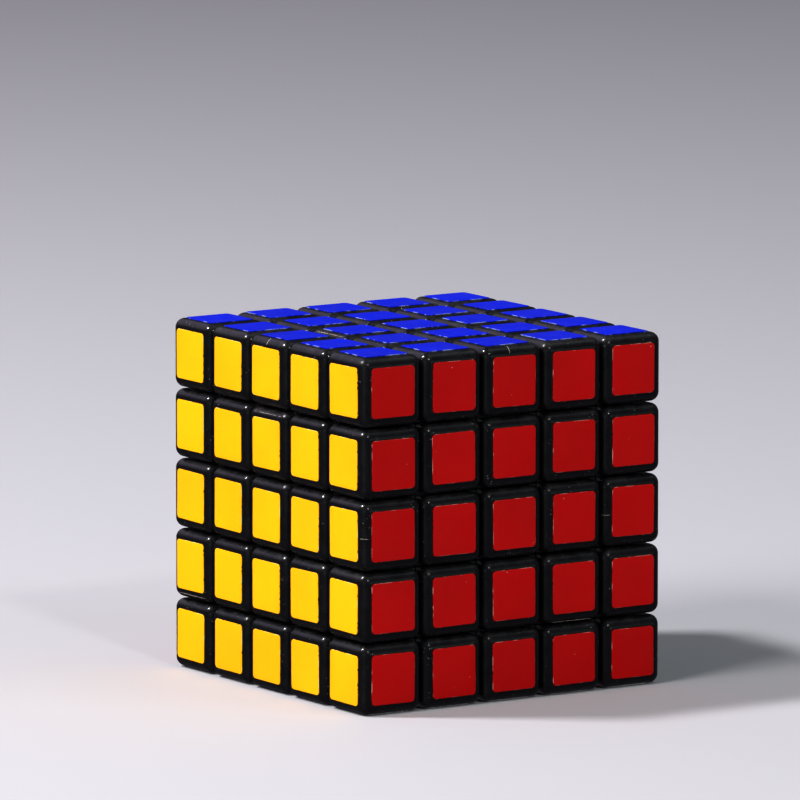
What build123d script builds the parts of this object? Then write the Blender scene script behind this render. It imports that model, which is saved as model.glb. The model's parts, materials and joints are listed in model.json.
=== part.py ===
"""Five-layer twisty puzzle cube: a ball core with six sprung centres, and 98 pieces that hook
under one another round it. X runs to the right, Y to the back, Z up; the origin is the core's centre.

Every layer is parted from its neighbour by a surface of revolution about the turning axis: a cone
near the core, a cylinder under the face plates, and the flat joint seen from outside. A foot that
fills its cone lies under its neighbours' plates, so no piece can leave, yet each layer turns freely.
"""
import os
from math import hypot
from build123d import *

# ---- Driving dimensions, millimetres ----
cube_size = 65.0            # over the plastic, without the stickers
piece_gap = 0.3             # between two neighbouring pieces
edge_rounding = 1.75        # on the edges of a piece's head, up to its sticker

sticker_size = 9.2
sticker_corner = 0.7
sticker_thickness = 0.15

plate_wall = 2.6            # plastic of a face plate over its neighbour's foot
cone_slope = 0.5            # rise of the cones that part the outer layers, per unit of radius
spine_half = 3.9            # half thickness of the centre slice near the core
centre_plate = 7.15         # depth of the centre slice's full-width plate under the face

core_radius = 10.6
hub_floor = 2.6             # floor of a centre hub, between the core and its spring
cap_height = 6.4            # the cap over a centre's screw
cap_spigot = 1.4            # the part of the cap that plugs the hub's bore
spigot_clearance = 0.05     # round the spigot, and between the cap and the hub

screw_radius = 1.25
screw_grip = 5.0            # length of screw inside the core
screw_head_radius = 2.45
screw_head_height = 2.0
recess_span = 3.4           # of the cross recess in the screw's head
recess_width = 0.8
recess_depth = 1.1
screw_clearance = 0.2       # in the hub's floor, all round
shank_clearance = 0.05      # in the core and in the washer, all round
head_clearance = 0.4        # over the screw's head
bore_clearance = 0.2        # round the screw's head
washer_thickness = 0.6
spring_wire = 0.7
spring_clearance = 0.02     # at each end of the spring
spring_side_clearance = 0.3 # between the spring and the bore
coil_spacing = 1.6          # rise of a coil, in wire thicknesses

# ---- Derived sizes ----
layers = 5
pitch = (cube_size + piece_gap) / layers
half = cube_size / 2
head_size = pitch - piece_gap
clear = piece_gap / 2                       # each piece's share of a gap
layer_joint = 1.5 * pitch                   # the flat joint of an outer layer
slice_joint = 0.5 * pitch                   # the flat joint of the centre slice
plate_radius = half - plate_wall            # underside of the plates
step_radius = half - centre_plate           # where the centre slice widens to its plate
foot_reach = plate_radius - piece_gap       # how far out a foot goes along any axis
far = 2 * cube_size                         # beyond everything

inner_radius = core_radius + piece_gap      # where the pieces end round the core
floor_top = inner_radius + hub_floor
cap_joint = half - cap_height
head_top = cap_joint - cap_spigot - head_clearance
head_seat = head_top - screw_head_height
washer_seat = head_seat - washer_thickness
bore_radius = screw_head_radius + bore_clearance
spring_length = washer_seat - floor_top
spring_radius = bore_radius - spring_side_clearance - spring_wire / 2

FACES = {
    "top": Plane(origin=(0, 0, 0), x_dir=(1, 0, 0), z_dir=(0, 0, 1)),
    "bottom": Plane(origin=(0, 0, 0), x_dir=(1, 0, 0), z_dir=(0, 0, -1)),
    "front": Plane(origin=(0, 0, 0), x_dir=(1, 0, 0), z_dir=(0, -1, 0)),
    "back": Plane(origin=(0, 0, 0), x_dir=(-1, 0, 0), z_dir=(0, 1, 0)),
    "left": Plane(origin=(0, 0, 0), x_dir=(0, -1, 0), z_dir=(-1, 0, 0)),
    "right": Plane(origin=(0, 0, 0), x_dir=(0, 1, 0), z_dir=(1, 0, 0)),
}
EDGES = [(a, b) for a in ("top", "bottom") for b in ("front", "back", "left", "right")]
EDGES += [(a, b) for a in ("front", "back") for b in ("left", "right")]
CORNERS = [(a, b, c) for a in ("top", "bottom") for b in ("front", "back") for c in ("left", "right")]

# Turns that carry a shape about Z to the other two axes, and its mirror to the negative side.
ABOUT_X = Location((0, 0, 0), (0, 90, 0))
ABOUT_Y = Location((0, 0, 0), (-90, 0, 0))
ABOUT_Z = Location((0, 0, 0), (0, 0, 0))
BELOW_X = Location((0, 0, 0), (0, -90, 0))
BELOW_Y = Location((0, 0, 0), (90, 0, 0))


# ---- The spaces of the layers: solids of revolution about Z ----
def revolved(*outline):
    """The solid that an outline in radius and height sweeps round Z."""
    with BuildPart() as space:
        with BuildSketch(Plane.XZ):
            with BuildLine():
                Polyline(*outline, close=True)
            make_face()
        revolve(axis=Axis.Z)
    return space.part


def foot_cone(shrink):
    """Room of the outer layer's feet: above the cone and inside the plates' underside."""
    tip = shrink * hypot(1, cone_slope)
    rim = plate_radius - shrink
    return revolved((0, tip), (rim, cone_slope * rim + tip), (rim, far), (0, far))


def off_centre(shrink, joint):
    """Everything on the positive side of the centre slice, which is thin inside and wide at its plate."""
    step = step_radius - shrink
    low = spine_half + shrink
    return revolved((0, low), (step, low), (step, joint), (far, joint), (far, far), (0, far))


layer_inside = foot_cone(clear)
layer_cut = foot_cone(-clear)
slice_inside = off_centre(clear, slice_joint + piece_gap)
slice_cut = off_centre(-clear, slice_joint)


def rounded_head(place):
    """The block at the given column, row and level: rounded where it shows, square under the plates."""
    spot = Location(tuple(step * pitch for step in place))
    with BuildPart() as hidden:
        with Locations(spot):
            Box(head_size, head_size, head_size)
        Box(2 * plate_radius, 2 * plate_radius, 2 * plate_radius, mode=Mode.INTERSECT)
    with BuildPart() as head:
        with Locations(spot):
            Box(head_size, head_size, head_size)
        fillet(head.edges(), edge_rounding)
        add(hidden.part)
    return head.part


def cubie(place, foot, inside, cuts):
    """A piece: a rounded head, and a foot that reaches in to the core.

    The foot is a block of the given half sizes, kept to the spaces in inside. Both are then cut
    back from the spaces in cuts, where the neighbours' feet pass.
    """
    head = rounded_head(place)
    with BuildPart() as piece:
        Box(*[2 * reach for reach in foot])
        for space, turn in inside:
            add(space.moved(turn), mode=Mode.INTERSECT)
        add(head)
        for space, turn in cuts:
            add(space.moved(turn), mode=Mode.SUBTRACT)
        Sphere(inner_radius, mode=Mode.SUBTRACT)
    return piece.part


# ---- The kinds of piece: the corner over X, Y and Z, the edge over X and Z, the centre over Z ----
across = layer_joint - piece_gap            # how far a foot goes inside its own layers

corner = cubie(
    place=(2, 2, 2),
    foot=(foot_reach, foot_reach, foot_reach),
    inside=[(layer_inside, ABOUT_X), (layer_inside, ABOUT_Y), (layer_inside, ABOUT_Z)],
    cuts=[],
)
mid_edge = cubie(
    place=(2, 0, 2),
    foot=(foot_reach, foot_reach, foot_reach),
    inside=[(layer_inside, ABOUT_X), (layer_inside, ABOUT_Z)],
    cuts=[(slice_cut, ABOUT_Y), (slice_cut, BELOW_Y)],
)
wing = cubie(
    place=(2, 1, 2),
    foot=(foot_reach, across, foot_reach),
    inside=[(layer_inside, ABOUT_X), (layer_inside, ABOUT_Z), (slice_inside, ABOUT_Y)],
    cuts=[(layer_cut, ABOUT_Y)],
)
diagonal_centre = cubie(
    place=(1, 1, 2),
    foot=(across, across, step_radius),
    inside=[(layer_inside, ABOUT_Z), (slice_inside, ABOUT_X), (slice_inside, ABOUT_Y)],
    cuts=[(layer_cut, ABOUT_X), (layer_cut, ABOUT_Y)],
)
side_centre = cubie(
    place=(1, 0, 2),
    foot=(across, across, step_radius),
    inside=[(layer_inside, ABOUT_Z), (slice_inside, ABOUT_X)],
    cuts=[(slice_cut, ABOUT_Y), (slice_cut, BELOW_Y), (layer_cut, ABOUT_X)],
)
middle_centre = cubie(
    place=(0, 0, 2),
    foot=(across, across, step_radius),
    inside=[(layer_inside, ABOUT_Z)],
    cuts=[(slice_cut, ABOUT_Y), (slice_cut, BELOW_Y), (slice_cut, ABOUT_X), (slice_cut, BELOW_X)],
)

# The middle centre is a hub, bored for its screw and spring, and a cap that plugs the bore.
with BuildPart() as hub:
    add(middle_centre)
    split(bisect_by=Plane.XY.offset(cap_joint - spigot_clearance), keep=Keep.BOTTOM)
    with BuildSketch(Plane.XY.offset(floor_top)):
        Circle(bore_radius)
    extrude(amount=far, mode=Mode.SUBTRACT)
    Cylinder(screw_radius + screw_clearance, far, mode=Mode.SUBTRACT)

with BuildPart() as cap:
    add(middle_centre)
    split(bisect_by=Plane.XY.offset(cap_joint), keep=Keep.TOP)
    with BuildSketch(Plane.XY.offset(cap_joint)):
        Circle(bore_radius - spigot_clearance)
    extrude(amount=-cap_spigot)


# ---- The core and its six screws, springs and washers, each made over Z ----
with BuildPart() as core:
    Sphere(core_radius)
    for plane in FACES.values():
        with BuildSketch(plane.offset(core_radius - screw_grip)):
            Circle(screw_radius + shank_clearance)
        extrude(amount=screw_grip, mode=Mode.SUBTRACT)
core.part.label = "core"

with BuildPart() as screw:
    with BuildSketch(Plane.XY.offset(core_radius - screw_grip)):
        Circle(screw_radius)
    extrude(amount=head_seat - core_radius + screw_grip)
    with BuildSketch(Plane.XY.offset(head_seat)):
        Circle(screw_head_radius)
    extrude(amount=screw_head_height)
    with BuildSketch(Plane.XY.offset(head_top)):
        Rectangle(recess_span, recess_width)
        Rectangle(recess_width, recess_span)
    extrude(amount=-recess_depth, mode=Mode.SUBTRACT)

with BuildPart() as washer:
    with BuildSketch(Plane.XY.offset(washer_seat)):
        Circle(screw_head_radius)
        Circle(screw_radius + shank_clearance, mode=Mode.SUBTRACT)
    extrude(amount=washer_thickness)

spring_rise = spring_length - spring_wire - 2 * spring_clearance
coils = max(1, round(spring_rise / (spring_wire * coil_spacing)))
with BuildPart() as spring:
    with BuildLine(Plane.XY.offset(floor_top + spring_clearance + spring_wire / 2)) as coil:
        Helix(pitch=spring_rise / coils, height=spring_rise, radius=spring_radius)
    with BuildSketch(Plane(origin=coil.line @ 0, z_dir=coil.line % 0)):
        Circle(spring_wire / 2)
    sweep(is_frenet=True)


# ---- The nodes ----
def keep(node, label):
    """Name a finished node and write it."""
    node.part.label = label
    export_step(node.part, f"parts/{label}.step")
    print(f"{label}: {len(node.part.solids())} solids, {node.part.volume:.0f} mm3")


def six_of(shape):
    """One copy of a shape under each face."""
    with BuildPart() as group:
        with Locations(*[plane.location for plane in FACES.values()]):
            add(shape, clean=False)
    return group


def stickers(plane, places):
    """Stickers on a face plane, at the given columns and rows."""
    with BuildPart() as sheet:
        with BuildSketch(plane.offset(half)):
            with Locations(*[(column * pitch, row * pitch) for column, row in places]):
                RectangleRounded(sticker_size, sticker_size, sticker_corner)
        extrude(amount=sticker_thickness)
    return sheet


def edge_plane(a, b):
    """The plane that carries the edge over X and Z to the faces b and a."""
    return Plane(origin=(0, 0, 0), x_dir=FACES[b].z_dir, z_dir=FACES[a].z_dir)


def corner_plane(a, b, c):
    """The plane that carries the corner over X, Y and Z to the faces a, b and c."""
    up, one, other = (FACES[name].z_dir for name in (a, b, c))
    if up.cross(one).dot(other) < 0:
        one = other
    return Plane(origin=(0, 0, 0), x_dir=one, z_dir=up)


os.makedirs("parts", exist_ok=True)
keep(core, "core")
keep(six_of(screw.part), "axle_screws")
keep(six_of(washer.part), "spring_washers")
keep(six_of(spring.part), "tension_springs")

with BuildPart() as centre_group:
    add([hub.part, cap.part], clean=False)
    with PolarLocations(0, 4):
        add([side_centre, diagonal_centre], clean=False)

for name, plane in FACES.items():
    with BuildPart() as centre_pieces:
        with Locations(plane.location):
            add(centre_group.part, clean=False)
    keep(centre_pieces, f"{name}_centre_pieces")
    centre_stickers = stickers(plane, [(i, j) for i in (-1, 0, 1) for j in (-1, 0, 1)])
    keep(centre_stickers, f"{name}_centre_stickers")

with BuildPart() as edge_group:
    add([mid_edge, wing, mirror(wing, about=Plane.XZ)], clean=False)

for a, b in EDGES:
    with BuildPart() as edge_pieces:
        with Locations(edge_plane(a, b).location):
            add(edge_group.part, clean=False)
    keep(edge_pieces, f"{a}_{b}_edge_pieces")
    for shown, beside in ((a, b), (b, a)):
        face = Plane(origin=(0, 0, 0), x_dir=FACES[beside].z_dir, z_dir=FACES[shown].z_dir)
        edge_stickers = stickers(face, [(2, row) for row in (-1, 0, 1)])
        keep(edge_stickers, f"{a}_{b}_edge_{shown}_stickers")

for a, b, c in CORNERS:
    with BuildPart() as corner_piece:
        with Locations(corner_plane(a, b, c).location):
            add(corner, clean=False)
    keep(corner_piece, f"{a}_{b}_{c}_corner_piece")
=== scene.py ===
# %% [markdown]
# # A twisty puzzle cube with five layers
#
# The cube is black plastic with a coloured vinyl sticker on every small face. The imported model
# gives the plastic pieces, the core and the way everything turns. This lesson adds what makes the
# cube look real: glossy plastic with rubbed edges and dust, stickers that are cut, pressed down by
# hand and a little out of line, and the thin lines of flash that a mould leaves.
#
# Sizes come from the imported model's own boxes, so a change there carries through to every piece.

# %% Load the frame
import json
import math
import random

import bmesh
import bpy
from mathutils import Matrix, Vector

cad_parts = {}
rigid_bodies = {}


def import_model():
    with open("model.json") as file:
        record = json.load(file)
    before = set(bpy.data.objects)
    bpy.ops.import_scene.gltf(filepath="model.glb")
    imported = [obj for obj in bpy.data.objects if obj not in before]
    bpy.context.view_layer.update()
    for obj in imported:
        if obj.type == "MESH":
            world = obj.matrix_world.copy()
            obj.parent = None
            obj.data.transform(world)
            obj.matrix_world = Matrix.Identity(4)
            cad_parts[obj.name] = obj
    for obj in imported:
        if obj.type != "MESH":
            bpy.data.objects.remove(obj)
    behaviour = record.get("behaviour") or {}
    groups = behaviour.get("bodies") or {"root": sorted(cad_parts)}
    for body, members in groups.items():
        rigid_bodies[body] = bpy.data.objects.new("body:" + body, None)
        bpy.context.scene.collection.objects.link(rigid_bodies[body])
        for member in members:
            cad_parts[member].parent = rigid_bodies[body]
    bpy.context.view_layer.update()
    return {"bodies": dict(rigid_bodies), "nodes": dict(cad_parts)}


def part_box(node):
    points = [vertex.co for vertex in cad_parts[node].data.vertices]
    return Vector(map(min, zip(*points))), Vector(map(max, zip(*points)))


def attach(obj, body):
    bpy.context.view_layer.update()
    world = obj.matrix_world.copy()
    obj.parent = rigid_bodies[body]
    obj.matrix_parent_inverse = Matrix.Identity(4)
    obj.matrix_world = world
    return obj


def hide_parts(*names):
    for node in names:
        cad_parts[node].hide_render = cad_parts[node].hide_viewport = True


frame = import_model()

MM = 0.001
LAYERS = 5
PIECE_GAP = 0.3 * MM        # between two neighbouring blocks
ROUNDING = 1.75 * MM        # of a block's edges
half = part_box("top_front_right_corner_piece")[1].z
pitch = (2 * half + PIECE_GAP) / LAYERS
head_half = (pitch - PIECE_GAP) / 2
sticker_low, sticker_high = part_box("top_front_edge_top_stickers")
sticker_size = sticker_high.y - sticker_low.y
sticker_thickness = sticker_high.z - half
print(f"half {half / MM:.2f} mm, pitch {pitch / MM:.2f} mm, sticker {sticker_size / MM:.2f} mm")

# Each face's own x axis, and the way it looks.
FACES = {
    "top": (Vector((1, 0, 0)), Vector((0, 0, 1))),
    "bottom": (Vector((1, 0, 0)), Vector((0, 0, -1))),
    "front": (Vector((1, 0, 0)), Vector((0, -1, 0))),
    "back": (Vector((-1, 0, 0)), Vector((0, 1, 0))),
    "left": (Vector((0, -1, 0)), Vector((-1, 0, 0))),
    "right": (Vector((0, 1, 0)), Vector((1, 0, 0))),
}

# %% [markdown]
# ## The camera
#
# A long lens from two metres away keeps the cube's edges almost parallel. Its place is given by two
# angles, as on a turntable: azimuth goes round from the red face, and elevation goes up from level.
# The camera looks above the core and a little to its left, so the cube stands low in the picture
# and right of its middle.

# %% Camera
AZIMUTH, ELEVATION = math.radians(-33.05), math.radians(8.47)
CAMERA_DISTANCE = 144.4 * pitch
LENS = 461.6                # focal length in millimetres
SENSOR = 36                 # width in millimetres
AIM_RIGHT, AIM_UP = -0.225 * pitch, 1.403 * pitch

back = Vector((
    math.sin(AZIMUTH) * math.cos(ELEVATION),
    -math.cos(AZIMUTH) * math.cos(ELEVATION),
    math.sin(ELEVATION),
))
right = Vector((0, 0, 1)).cross(back).normalized()
up = back.cross(right)

camera_data = bpy.data.cameras.new("camera")
camera_data.lens = LENS
camera_data.sensor_width = SENSOR
camera_data.clip_end = 100     # metres, past the floor's far side
camera = bpy.data.objects.new("camera", camera_data)
bpy.context.scene.collection.objects.link(camera)
camera.location = back * CAMERA_DISTANCE + right * AIM_RIGHT + up * AIM_UP
camera.rotation_euler = back.to_track_quat("Z", "Y").to_euler()
bpy.context.scene.camera = camera
print(f"camera {CAMERA_DISTANCE:.2f} m away, lens {LENS} mm")

# %% [markdown]
# ## The floor and the light
#
# A wide pale disc is the floor. Glossy black plastic mirrors whatever is round it, so what it may
# mirror is chosen lamp by lamp. A small lamp high on the left, a little behind the cube, gives
# every rounded corner its glint, and a weaker one in front gives a second. A wide dim glow behind
# the cube draws the soft violet sheen along the upper edges. Three more, in front, to the left and
# above, outline the blocks on the shaded face. The key light and the fill only light the colours,
# and so does the floor, which leaves the plastic between the stickers deep black.
#
# Printed vinyl is a strong pure colour, and Blender's film-like view would fade it, so the picture
# is shown with the plain view and a harder contrast.

# %% Floor
FLOOR_RADIUS = 9.0
FLOOR_SIDES = 96

floor_mesh = bpy.data.meshes.new("floor")
bm = bmesh.new()
bmesh.ops.create_circle(bm, cap_ends=True, radius=FLOOR_RADIUS, segments=FLOOR_SIDES)
bmesh.ops.translate(bm, verts=bm.verts[:], vec=(0, 0, -half - sticker_thickness))
bm.to_mesh(floor_mesh)
bm.free()
floor = bpy.data.objects.new("floor", floor_mesh)
bpy.context.scene.collection.objects.link(floor)
floor_finish = bpy.data.materials.new("pale_floor")
floor_finish.use_nodes = True
floor_shader = floor_finish.node_tree.nodes["Principled BSDF"]
floor_shader.inputs["Base Color"].default_value = (0.50, 0.49, 0.52, 1)
floor_shader.inputs["Roughness"].default_value = 0.8
floor_shader.inputs["Specular IOR Level"].default_value = 0.1
floor_mesh.materials.append(floor_finish)
floor.visible_glossy = False
print(f"floor {2 * FLOOR_RADIUS:.0f} m across")


# %% Lamps
def soft_box(name, place, size, power, colour=(1, 1, 1), mirrored=True):
    """A rectangular lamp at place, facing the cube. mirrored says if gloss shows it."""
    data = bpy.data.lights.new(name, "AREA")
    data.shape = "RECTANGLE"
    data.size, data.size_y = size
    data.energy = power
    data.color = colour
    lamp = bpy.data.objects.new(name, data)
    bpy.context.scene.collection.objects.link(lamp)
    lamp.location = place
    lamp.rotation_euler = Vector(place).to_track_quat("Z", "Y").to_euler()
    lamp.visible_glossy = mirrored
    return lamp


soft_box("key", (-1.25, -0.25, 0.85), (0.6, 0.6), 20, (1.0, 0.98, 0.95), mirrored=False)
soft_box("glint", (-0.75, 0.49, 1.2), (0.18, 0.18), 22)
soft_box("fill", (0.9, -1.5, 0.45), (0.9, 0.9), 11.5, mirrored=False)
soft_box("small_glint", (-0.2, -1.2, 0.95), (0.12, 0.12), 4.5, (0.93, 1.0, 0.93))
soft_box("glow", (-0.35, 1.5, 0.95), (1.8, 0.9), 3.5, (0.80, 0.72, 1.0))
soft_box("front_glow", (0.5, -1.25, 0.10), (0.5, 0.3), 0.6, (0.72, 1.0, 0.9))
soft_box("side_glow", (-1.25, -0.75, 0.10), (0.5, 0.5), 0.5, (0.72, 1.0, 0.9))
soft_box("ceiling", (0.5, -0.25, 1.3), (1.0, 0.8), 1.4, (0.8, 1.0, 0.95))
print("lamps:", [lamp.name for lamp in bpy.data.lights])

# %% Surroundings
world = bpy.data.worlds.new("studio")
bpy.context.scene.world = world
world.use_nodes = True
sky = world.node_tree.nodes["Background"]
sky.inputs["Color"].default_value = (0.74, 0.70, 0.88, 1)
sky.inputs["Strength"].default_value = 0.13
shown = bpy.context.scene.view_settings
shown.view_transform = "Standard"
shown.gamma = 0.8
print("view:", shown.view_transform, "gamma", round(shown.gamma, 2))

# %% [markdown]
# ## Building with nodes
#
# A material is a small network: textures make patterns, sums and ramps shape them, and the shader
# takes the result. Typing out every node hides the idea, so a few helpers make the nodes that come
# up again and again. Each returns an output, ready to be passed to the next helper.


# %% Helpers for node trees
def link(tree, source, target):
    tree.links.new(source, target)


def math_node(tree, operation, first, second=None, clamp=False):
    """A Math node; first and second are sockets or numbers. Returns its output."""
    node = tree.nodes.new("ShaderNodeMath")
    node.operation = operation
    node.use_clamp = clamp
    for slot, value in zip(node.inputs, (first, second)):
        if value is None:
            continue
        if isinstance(value, (int, float)):
            slot.default_value = value
        else:
            link(tree, value, slot)
    return node.outputs[0]


def ramp_node(tree, value, low, high, to_low=0.0, to_high=1.0):
    """Maps value from low..high to to_low..to_high with soft ends."""
    node = tree.nodes.new("ShaderNodeMapRange")
    node.interpolation_type = "SMOOTHSTEP"
    link(tree, value, node.inputs["Value"])
    limits = {"From Min": low, "From Max": high, "To Min": to_low, "To Max": to_high}
    for name, number in limits.items():
        if isinstance(number, (int, float)):
            node.inputs[name].default_value = number
        else:
            link(tree, number, node.inputs[name])
    return node.outputs["Result"]


def noise_node(tree, place, scale, detail=2.0, roughness=0.5):
    """A Noise texture read at place; scale is a socket or a number of lumps to the metre."""
    node = tree.nodes.new("ShaderNodeTexNoise")
    link(tree, place, node.inputs["Vector"])
    if isinstance(scale, (int, float)):
        node.inputs["Scale"].default_value = scale
    else:
        link(tree, scale, node.inputs["Scale"])
    node.inputs["Detail"].default_value = detail
    node.inputs["Roughness"].default_value = roughness
    return node.outputs["Fac"]


def new_group(name, inputs, outputs):
    """An empty shader group; inputs are (name, default) and outputs are names.

    Returns its tree, the node that holds its inputs and the node that takes its outputs.
    """
    tree = bpy.data.node_groups.new(name, "ShaderNodeTree")
    for title, default in inputs:
        slot = tree.interface.new_socket(title, in_out="INPUT", socket_type="NodeSocketFloat")
        slot.default_value = default
    for title in outputs:
        tree.interface.new_socket(title, in_out="OUTPUT", socket_type="NodeSocketFloat")
    return tree, tree.nodes.new("NodeGroupInput"), tree.nodes.new("NodeGroupOutput")


# %% [markdown]
# ## Edge wear
#
# Fingers rub the plastic smooth where blocks stick out most, along their rounded edges. The cube is
# a regular grid of small blocks. A point's distance from the middle of its block, along each axis,
# says how near it is to an edge: on a flat face only one axis is at the block's limit, on a rounded
# edge two are, and on a corner all three. The second largest of the three is therefore a mask of
# every edge, with no need to paint one by hand. As a node group with its own inputs it can be
# placed in any material that needs it.

# %% Edge wear group
wear_tree, wear_in, wear_out = new_group(
    "edge_wear", [("Start", 0.86), ("Full", 0.97), ("Patch Scale", 300.0), ("Patchiness", 0.6)],
    ["Wear", "Edge"],
)
coords = wear_tree.nodes.new("ShaderNodeTexCoord")
axes = wear_tree.nodes.new("ShaderNodeSeparateXYZ")
link(wear_tree, coords.outputs["Object"], axes.inputs[0])
reach = []
for axis in axes.outputs:
    from_joint = math_node(wear_tree, "ADD", axis, (LAYERS + 0.5) * pitch)
    in_block = math_node(wear_tree, "FLOORED_MODULO", from_joint, pitch)
    offset = math_node(wear_tree, "SUBTRACT", in_block, pitch / 2)
    distance = math_node(wear_tree, "ABSOLUTE", offset)
    reach.append(math_node(wear_tree, "DIVIDE", distance, head_half))
smaller = math_node(wear_tree, "MINIMUM", reach[0], reach[1])
larger = math_node(wear_tree, "MAXIMUM", reach[0], reach[1])
second = math_node(wear_tree, "MAXIMUM", smaller, math_node(wear_tree, "MINIMUM", larger, reach[2]))
edge = ramp_node(wear_tree, second, wear_in.outputs["Start"], wear_in.outputs["Full"])
patches = noise_node(wear_tree, coords.outputs["Object"], wear_in.outputs["Patch Scale"], 3.0)
patches = ramp_node(wear_tree, patches, 0.42, 0.62)
missing = math_node(wear_tree, "MULTIPLY", patches, wear_in.outputs["Patchiness"])
kept = math_node(wear_tree, "SUBTRACT", 1.0, missing)
link(wear_tree, math_node(wear_tree, "MULTIPLY", edge, kept), wear_out.inputs["Wear"])
link(wear_tree, edge, wear_out.inputs["Edge"])
print("edge wear:", len(wear_tree.nodes), "nodes")

# %% [markdown]
# ## Dust
#
# Dust comes in two forms. Specks are the middles of small random cells, kept only in some places,
# because lint gathers in drifts. The film is a grey haze on whatever faces up. Plastic and stickers
# both collect dust, each in its own amount, so this is a node group as well.

# %% Dust group
SPECK_SHARPNESS = 14.0      # how quickly a speck ends at its rim

dust_tree, dust_in, dust_out = new_group(
    "dust", [("Speck Scale", 900.0), ("Speck Size", 0.16), ("Film", 0.35)], ["Specks", "Film"],
)
coords = dust_tree.nodes.new("ShaderNodeTexCoord")
cells = dust_tree.nodes.new("ShaderNodeTexVoronoi")
link(dust_tree, coords.outputs["Object"], cells.inputs["Vector"])
link(dust_tree, dust_in.outputs["Speck Scale"], cells.inputs["Scale"])
near = math_node(dust_tree, "SUBTRACT", dust_in.outputs["Speck Size"], cells.outputs["Distance"])
speck = math_node(dust_tree, "MULTIPLY", near, SPECK_SHARPNESS, clamp=True)
drifts = noise_node(dust_tree, coords.outputs["Object"], 160.0)
where = ramp_node(dust_tree, drifts, 0.48, 0.66)
link(dust_tree, math_node(dust_tree, "MULTIPLY", speck, where), dust_out.inputs["Specks"])
facing = dust_tree.nodes.new("ShaderNodeSeparateXYZ")
link(dust_tree, coords.outputs["Normal"], facing.inputs[0])
lying = ramp_node(dust_tree, facing.outputs["Z"], 0.15, 0.9)
haze = noise_node(dust_tree, coords.outputs["Object"], 420.0, 5.0, 0.65)
haze = math_node(dust_tree, "MULTIPLY", lying, ramp_node(dust_tree, haze, 0.38, 0.72))
film = math_node(dust_tree, "MULTIPLY", haze, dust_in.outputs["Film"])
link(dust_tree, film, dust_out.inputs["Film"])
print("dust:", len(dust_tree.nodes), "nodes")

# %% [markdown]
# ## The black plastic
#
# The blocks are moulded from black ABS. It is satin where it is flat, and fingers have polished the
# rounded edges. Fine dust settles on what faces up, and a few specks cling everywhere. The packed
# pieces already have the right shape, so they keep it and only get a better finish. Four more
# helpers start a material, place a group in it, mix two colours by a mask and add fine relief.


# %% Helpers for materials
def new_finish(name):
    """A new material. Returns it with its tree and its shader."""
    finish = bpy.data.materials.new(name)
    finish.use_nodes = True
    return finish, finish.node_tree, finish.node_tree.nodes["Principled BSDF"]


def use_group(tree, group, **values):
    """Places a group in a tree and sets its inputs; an underscore stands for a space."""
    node = tree.nodes.new("ShaderNodeGroup")
    node.node_tree = group
    for title, value in values.items():
        node.inputs[title.replace("_", " ")].default_value = value
    return node


def mix_colour(tree, factor, first, second):
    """Mixes two colours by a mask; each is a socket or a plain colour."""
    node = tree.nodes.new("ShaderNodeMix")
    node.data_type = "RGBA"
    link(tree, factor, node.inputs["Factor"])
    for title, value in (("A", first), ("B", second)):
        slot = [s for s in node.inputs if s.name == title and s.type == "RGBA"][0]
        if isinstance(value, tuple):
            slot.default_value = (*value, 1)
        else:
            link(tree, value, slot)
    return [s for s in node.outputs if s.type == "RGBA"][0]


def add_bump(tree, shader, height, strength, distance):
    """Relief finer than any mesh: height tilts the shader's normal."""
    node = tree.nodes.new("ShaderNodeBump")
    node.inputs["Strength"].default_value = strength
    node.inputs["Distance"].default_value = distance
    link(tree, height, node.inputs["Height"])
    link(tree, node.outputs["Normal"], shader.inputs["Normal"])


# %% Black plastic
PLASTIC, RUBBED_PLASTIC = (0.0042, 0.0042, 0.005), (0.012, 0.0118, 0.0135)
PLASTIC_FILM, PLASTIC_SPECK = (0.06, 0.055, 0.06), (0.13, 0.125, 0.115)

black, tree, shader = new_finish("black_plastic")
place = tree.nodes.new("ShaderNodeTexCoord").outputs["Object"]
wear = use_group(tree, wear_tree, Start=0.76, Full=0.95, Patch_Scale=380.0, Patchiness=0.7)
dust = use_group(tree, dust_tree, Speck_Scale=1000.0, Speck_Size=0.16, Film=0.3)
colour = mix_colour(tree, wear.outputs["Wear"], PLASTIC, RUBBED_PLASTIC)
colour = mix_colour(tree, dust.outputs["Film"], colour, PLASTIC_FILM)
colour = mix_colour(tree, dust.outputs["Specks"], colour, PLASTIC_SPECK)
link(tree, colour, shader.inputs["Base Color"])
gloss = ramp_node(tree, noise_node(tree, place, 90.0, 4.0), 0.3, 0.7, 0.22, 0.32)
polish = math_node(tree, "MULTIPLY", wear.outputs["Wear"], -0.06)
gloss = math_node(tree, "ADD", gloss, polish)
dulled = math_node(tree, "MULTIPLY", dust.outputs["Film"], 0.5)
gloss = math_node(tree, "ADD", gloss, dulled, clamp=True)
link(tree, gloss, shader.inputs["Roughness"])
shader.inputs["Specular IOR Level"].default_value = 0.5
grain = noise_node(tree, place, 1400.0, 3.0, 0.6)
height = math_node(tree, "ADD", grain, math_node(tree, "MULTIPLY", dust.outputs["Specks"], 1.5))
add_bump(tree, shader, height, 0.10, 0.02 * MM)


def finish_nodes(finish, *endings):
    """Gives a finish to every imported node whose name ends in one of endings."""
    done = [node for name, node in frame["nodes"].items() if name.endswith(endings)]
    for node in done:
        node.data.materials.clear()
        node.data.materials.append(finish)
    return len(done)


blackened = finish_nodes(black, "_centre_pieces", "_edge_pieces", "_corner_piece")
print("black plastic on", blackened, "nodes")

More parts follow.
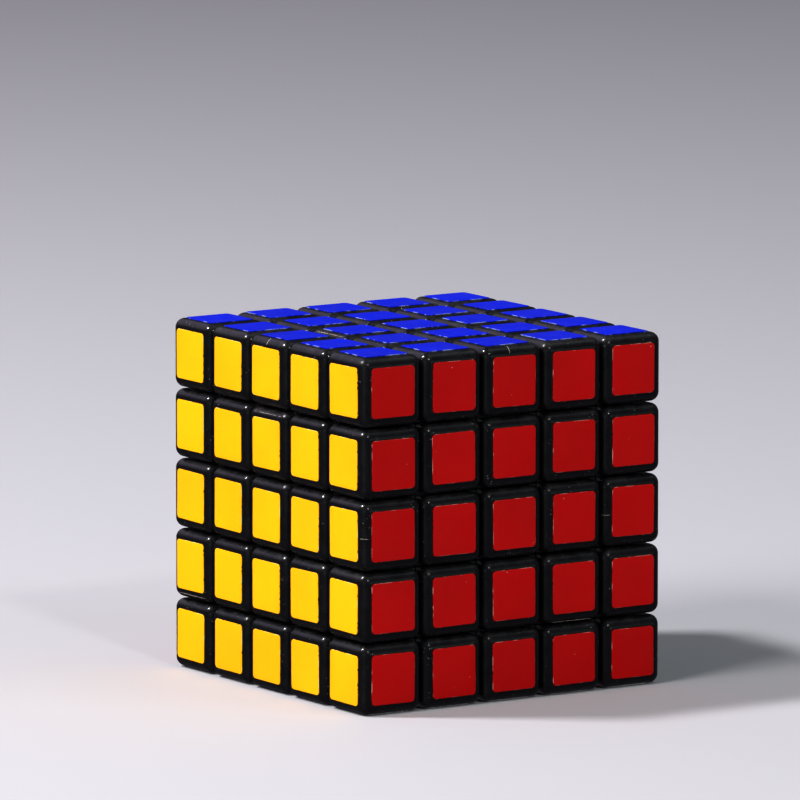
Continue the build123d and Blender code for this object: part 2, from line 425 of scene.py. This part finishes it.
# %% [markdown]
# ## The stickers
#
# Each small face carries a square of vinyl film with rounded corners. It was cut by a die, so its
# rim is upright and shows the paler inside of the film, and it was put on by hand, so no two lie
# quite alike. A flat face with bevelled corners gives the outline, one extrusion the thickness, and
# a narrow inset keeps the middle flat while the rim rolls over softly. One sticker of the set has
# been caught by a thumbnail, so its corner pulls in a little.

# %% Sticker shape
STICKER_CORNER = 0.72 * MM
CORNER_STEPS = 6
RIM_ROLL = 0.06 * MM
ROLL_STEPS = 2
FLAT_INSET = 0.25 * MM
NICK_REACH = 0.9 * MM
NICK_DEPTH = 0.07           # as a share of the distance to the sticker's middle
MOST_OFFSET = 0.10 * MM
MOST_TURN = math.radians(0.7)
hand = random.Random(5)


def cut_sticker(bm, place, nick=None):
    """Adds one sticker to bm, its underside in the plane that place puts at z = 0.

    nick is the corner that a thumbnail has caught, in the sticker's own plane.
    """
    piece = bmesh.new()
    uv = piece.loops.layers.uv.new("sticker")
    bmesh.ops.create_grid(piece, x_segments=1, y_segments=1, size=sticker_size / 2)
    bmesh.ops.bevel(
        piece, geom=piece.verts[:], offset=STICKER_CORNER, affect="VERTICES",
        segments=CORNER_STEPS, profile=0.5, material=-1, offset_type="OFFSET",
    )
    made = bmesh.ops.extrude_face_region(piece, geom=piece.faces[:], use_keep_orig=True)
    top = [v for v in made["geom"] if isinstance(v, bmesh.types.BMVert)]
    bmesh.ops.translate(piece, verts=top, vec=(0, 0, sticker_thickness))
    bmesh.ops.recalc_face_normals(piece, faces=piece.faces[:])
    lid = max(piece.faces, key=lambda f: f.calc_center_median().z)
    bmesh.ops.bevel(
        piece, geom=lid.edges[:], offset=RIM_ROLL, affect="EDGES",
        segments=ROLL_STEPS, profile=0.5, material=-1, offset_type="OFFSET",
    )
    lid = max(piece.faces, key=lambda f: f.calc_center_median().z + f.calc_area())
    bmesh.ops.inset_region(piece, faces=[lid], thickness=FLAT_INSET)
    if nick:
        for v in piece.verts:
            pull = max(0.0, 1 - (v.co.xy - Vector(nick)).length / NICK_REACH)
            v.co.xy *= 1 - NICK_DEPTH * pull
    for face in piece.faces:
        face.smooth = True
        for corner in face.loops:
            corner[uv].uv = (corner.vert.co.xy / sticker_size) + Vector((0.5, 0.5))
    piece.transform(place)
    finished = bpy.data.meshes.new("one_sticker")
    piece.to_mesh(finished)
    piece.free()
    bm.from_mesh(finished)
    bpy.data.meshes.remove(finished)


def face_place(face, column, row):
    """The matrix that carries a sticker from the origin to a block's face, a little askew."""
    x_axis, outward = FACES[face]
    y_axis = outward.cross(x_axis)
    axes = Matrix((x_axis, y_axis, outward)).transposed().to_4x4()
    shift = Vector((
        column * pitch + hand.uniform(-MOST_OFFSET, MOST_OFFSET),
        row * pitch + hand.uniform(-MOST_OFFSET, MOST_OFFSET),
        half,
    ))
    askew = Matrix.Rotation(hand.uniform(-MOST_TURN, MOST_TURN), 4, "Z")
    return axes @ Matrix.Translation(shift) @ askew


# %% [markdown]
# ## The stickers' vinyl
#
# The film is a pure colour under a soft gloss. What stops it looking like paint is small: the paler
# inside of the film along parts of its cut rim, tiny dark bites where the rim has frayed, fingers'
# smudges in the gloss, and a slight waviness where air was trapped. Each sticker has a UV map from
# 0 to 1, so the distance from the middle of that map says how near the rim is.


# %% Sticker finishes
BITTEN = (0.008, 0.008, 0.01)
VINYL_FILM, VINYL_SPECK = (0.5, 0.48, 0.5), (0.6, 0.58, 0.55)


def vinyl(name, colour, inside):
    """Printed vinyl film: glossy, faintly uneven, smudged by fingers, paler along its cut rim."""
    finish, tree, shader = new_finish(name)
    place = tree.nodes.new("ShaderNodeTexCoord").outputs["Object"]
    across = tree.nodes.new("ShaderNodeUVMap")
    across.uv_map = "sticker"
    uv_axes = tree.nodes.new("ShaderNodeSeparateXYZ")
    link(tree, across.outputs[0], uv_axes.inputs[0])
    sides = []
    for axis in (uv_axes.outputs[0], uv_axes.outputs[1]):
        sides.append(math_node(tree, "ABSOLUTE", math_node(tree, "SUBTRACT", axis, 0.5)))
    to_rim = math_node(tree, "MAXIMUM", *sides)
    chipped = ramp_node(tree, noise_node(tree, place, 420.0, 3.0), 0.50, 0.64)
    rim = math_node(tree, "MULTIPLY", ramp_node(tree, to_rim, 0.4925, 0.4995), chipped)
    bites = ramp_node(tree, noise_node(tree, place, 2200.0), 0.58, 0.64)
    frayed = math_node(tree, "MULTIPLY", ramp_node(tree, to_rim, 0.490, 0.4985), bites)
    shade = tuple(channel * 0.9 for channel in colour)
    cloud = ramp_node(tree, noise_node(tree, place, 55.0, 3.0), 0.3, 0.7)
    base = mix_colour(tree, cloud, colour, shade)
    base = mix_colour(tree, frayed, base, BITTEN)
    base = mix_colour(tree, rim, base, inside)
    dust = use_group(tree, dust_tree, Speck_Scale=520.0, Speck_Size=0.07, Film=0.02)
    base = mix_colour(tree, dust.outputs["Film"], base, VINYL_FILM)
    base = mix_colour(tree, dust.outputs["Specks"], base, VINYL_SPECK)
    link(tree, base, shader.inputs["Base Color"])
    smudge = ramp_node(tree, noise_node(tree, place, 130.0, 5.0, 0.6), 0.35, 0.7, 0.30, 0.44)
    link(tree, smudge, shader.inputs["Roughness"])
    shader.inputs["Specular IOR Level"].default_value = 0.2
    waves = noise_node(tree, place, 210.0)
    add_bump(tree, shader, waves, 0.12, 0.05 * MM)
    return finish


# Each face's material slot, the colour of its film and the paler colour inside it.
COLOURS = {
    "top": ("sticker_blue", (0.0, 0.015, 0.6), (0.30, 0.36, 0.7)),
    "bottom": ("sticker_white", (0.66, 0.66, 0.64), (0.85, 0.85, 0.83)),
    "front": ("sticker_red", (0.46, 0.0006, 0.0008), (0.75, 0.35, 0.3)),
    "back": ("sticker_orange", (0.86, 0.13, 0.006), (0.9, 0.5, 0.3)),
    "left": ("sticker_yellow", (0.98, 0.46, 0.0), (0.9, 0.75, 0.3)),
    "right": ("sticker_green", (0.0, 0.23, 0.035), (0.3, 0.6, 0.35)),
}
VINYL = {face: vinyl(*row) for face, row in COLOURS.items()}
print("vinyl finishes:", [finish.name for finish in VINYL.values()])

# %% [markdown]
# ## Which stickers ride on which piece
#
# A centre block carries nine stickers, an edge three on each of its two faces, and a corner one on
# each of its three. Stickers that ride together and share a colour are one object. Where the packed
# model has plain stickers these take their place; the corners' stickers are new.


# %% Place the stickers
def put_stickers(name, body, face, places, node=None):
    """Makes the stickers at the given columns and rows of a face, riding on body."""
    bm = bmesh.new()
    for column, row in places:
        nick = NICKED.get((face, column, row))
        cut_sticker(bm, face_place(face, column, row), nick)
    mesh = bpy.data.meshes.new(name)
    bm.to_mesh(mesh)
    bm.free()
    mesh.materials.append(VINYL[face])
    piece = bpy.data.objects.new(name, mesh)
    bpy.context.scene.collection.objects.link(piece)
    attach(piece, body)
    if node:
        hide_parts(node)
    return len(places)


def body_of(face, column, row):
    """The body that carries the block at a column and row of a face."""
    x_axis, outward = FACES[face]
    y_axis = outward.cross(x_axis)
    sides = {face}
    for other, (_, way) in FACES.items():
        if max(way.dot(x_axis) * column, way.dot(y_axis) * row) == LAYERS // 2:
            sides.add(other)
    kind = ("centre", "edge", "corner")[len(sides) - 1]
    return next(body for body in frame["bodies"] if set(body.split("_")) == sides | {kind})


# The sticker with a nick, by face, column and row, and the corner that is nicked.
NICKED = {("left", -1, 1): (sticker_size / 2, sticker_size / 2)}
STEPS = range(-(LAYERS // 2), LAYERS // 2 + 1)
placed = 0
for face in FACES:
    riders = {}
    for column in STEPS:
        for row in STEPS:
            riders.setdefault(body_of(face, column, row), []).append((column, row))
    for body, places in riders.items():
        name = f"{body}_stickers" if body.endswith("_centre") else f"{body}_{face}_stickers"
        node = name if name in frame["nodes"] else None
        placed += put_stickers(f"{name}_vinyl", body, face, places, node)
print("stickers placed:", placed)

# %% [markdown]
# ## Mould flash
#
# A block is moulded between two halves of steel, and where they meet a hair of plastic squeezes
# out. Most of it is trimmed. What stays is a thin line along a rounded edge, or a short tick across
# one, and its pale colour is partly plastic rubbed paler and partly a painted highlight, standing
# in for the glint the ridge would catch. Each is a narrow grid bent over the rounding, with its
# middle raised and its sides just under the surface, and a little uneven along its length.

# %% Flash
FLASH_WIDTH = 0.07 * MM
FLASH_HEIGHT = 0.05 * MM
FLASH_SUNK = 0.02 * MM      # of its sides, under the plastic
FLASH_STEPS = 14
LOWEST_RISE = 0.5           # where it is most worn, as a share of its height
TICK_START, TICK_END = math.radians(15), math.radians(70)
# The pale flash colour is partly plastic rubbed paler and partly a painted highlight for the glint
# its ridge would catch.
FLASH_DARK, FLASH_PALE_AND_HIGHLIGHT = (0.05, 0.047, 0.045), (0.62, 0.56, 0.48)

flash_rubbed_and_highlight, tree, shader = new_finish("rubbed_flash_painted_highlight")
place = tree.nodes.new("ShaderNodeTexCoord").outputs["Object"]
# This noise mask breaks each line into dark plastic and the pale colour, which is partly a painted
# highlight.
flash_pale_and_highlight_mask = ramp_node(tree, noise_node(tree, place, 500.0), 0.30, 0.42)
link(tree, mix_colour(tree, flash_pale_and_highlight_mask, FLASH_DARK, FLASH_PALE_AND_HIGHLIGHT), shader.inputs["Base Color"])
link(tree, ramp_node(tree, flash_pale_and_highlight_mask, 0.0, 1.0, 0.3, 0.5), shader.inputs["Roughness"])


def add_flash(bm, face, column, row, turn, kind, value):
    """Adds flash to bm on one of the four edges of a block's face, which turn picks.

    value is how far round the edge a line lies, in degrees, or how far along it a tick is, as a
    share of its straight part.
    """
    strip = bmesh.new()
    straight = 2 * (head_half - ROUNDING)
    bmesh.ops.create_grid(strip, x_segments=FLASH_STEPS, y_segments=2, size=0.5)
    for v in strip.verts:
        along, side = v.co.x + 0.5, round(2 * v.co.y)
        ends = 1 - abs(2 * along - 1) ** 4
        rise = FLASH_HEIGHT * ends * hand.uniform(LOWEST_RISE, 1.0) if side == 0 else -FLASH_SUNK
        if kind == "line":
            angle, shift = math.radians(value), straight * (along - 0.5)
            sideways = Vector((0, math.cos(angle), -math.sin(angle)))
        else:
            angle, shift = TICK_START + along * (TICK_END - TICK_START), straight * value
            sideways = Vector((1, 0, 0))
        outward = Vector((0, math.sin(angle), math.cos(angle)))
        v.co = Vector((shift, head_half - ROUNDING, -ROUNDING))
        v.co += outward * (ROUNDING + rise) + sideways * side * FLASH_WIDTH / 2
    x_axis, outward = FACES[face]
    axes = Matrix((x_axis, outward.cross(x_axis), outward)).transposed().to_4x4()
    strip.transform(Matrix.Rotation(turn * math.pi / 2, 4, "Z"))
    strip.transform(axes @ Matrix.Translation((column * pitch, row * pitch, half)))
    bmesh.ops.recalc_face_normals(strip, faces=strip.faces[:])
    for f in strip.faces:
        f.smooth = True
    finished = bpy.data.meshes.new("one_flash")
    strip.to_mesh(finished)
    strip.free()
    bm.from_mesh(finished)
    bpy.data.meshes.remove(finished)


# Face, column, row, quarter turns to the edge, kind and value.
FLASHES = [
    ("left", 0, 1, 0, "line", 33),
    ("left", 0, 2, 0, "tick", 0.0),
    ("left", 2, 0, 3, "tick", 0.02),
    ("left", -2, -1, 2, "line", 30),
    ("front", 0, 2, 0, "tick", -0.1),
    ("front", 1, -1, 2, "line", 60),
    ("front", 2, -2, 2, "line", 65),
    ("front", 2, 0, 1, "tick", -0.04),
    ("top", 1, 2, 2, "tick", 0.3),
    ("top", -1, 0, 1, "line", 35),
    ("back", 1, 1, 0, "line", 33),
    ("back", -2, 0, 2, "tick", 0.2),
    ("right", 0, -1, 0, "line", 33),
    ("right", 1, 2, 0, "tick", 0.25),
    ("bottom", -1, 1, 3, "line", 40),
]
bodies = {}
for flash in FLASHES:
    bodies.setdefault(body_of(*flash[:3]), []).append(flash)
for body, flashes in bodies.items():
    bm = bmesh.new()
    for flash in flashes:
        add_flash(bm, *flash)
    mesh = bpy.data.meshes.new(f"{body}_flash")
    bm.to_mesh(mesh)
    bm.free()
    mesh.materials.append(flash_rubbed_and_highlight)
    piece = bpy.data.objects.new(f"{body}_flash", mesh)
    bpy.context.scene.collection.objects.link(piece)
    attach(piece, body)
print("bodies with flash:", len(bodies))

# %% [markdown]
# ## The core, screws and springs
#
# Nothing of these shows while the cube is whole, and they show when it is taken apart. They keep
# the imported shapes. The core is dark plastic with a matt grain. The screws and washers are plated
# and the springs are drawn from wire, so both are metal with fine streaks in their gloss.

# %% Core and hardware
CORE_DARK, CORE_LIGHT = (0.02, 0.02, 0.022), (0.035, 0.035, 0.037)

core_finish, tree, shader = new_finish("core_plastic")
place = tree.nodes.new("ShaderNodeTexCoord").outputs["Object"]
mottle = noise_node(tree, place, 260.0, 4.0)
link(tree, mix_colour(tree, mottle, CORE_DARK, CORE_LIGHT), shader.inputs["Base Color"])
link(tree, ramp_node(tree, mottle, 0.3, 0.7, 0.5, 0.65), shader.inputs["Roughness"])
add_bump(tree, shader, noise_node(tree, place, 1500.0, 3.0), 0.2, 0.03 * MM)
print("core plastic on", finish_nodes(core_finish, "core"), "node")


def steel(name, colour, low, high):
    """Plated or drawn steel: metallic, with fine streaks in its gloss."""
    finish, tree, shader = new_finish(name)
    place = tree.nodes.new("ShaderNodeTexCoord").outputs["Object"]
    streaks = noise_node(tree, place, 900.0, 4.0, 0.7)
    dull = tuple(0.75 * channel for channel in colour)
    link(tree, mix_colour(tree, streaks, colour, dull), shader.inputs["Base Color"])
    link(tree, ramp_node(tree, streaks, 0.3, 0.7, low, high), shader.inputs["Roughness"])
    shader.inputs["Metallic"].default_value = 1.0
    return finish


plated = steel("screw_steel", (0.62, 0.61, 0.58), 0.22, 0.38)
drawn = steel("spring_steel", (0.5, 0.5, 0.51), 0.28, 0.42)
print("plated steel on", finish_nodes(plated, "axle_screws", "spring_washers"), "nodes")
print("drawn steel on", finish_nodes(drawn, "tension_springs"), "node")
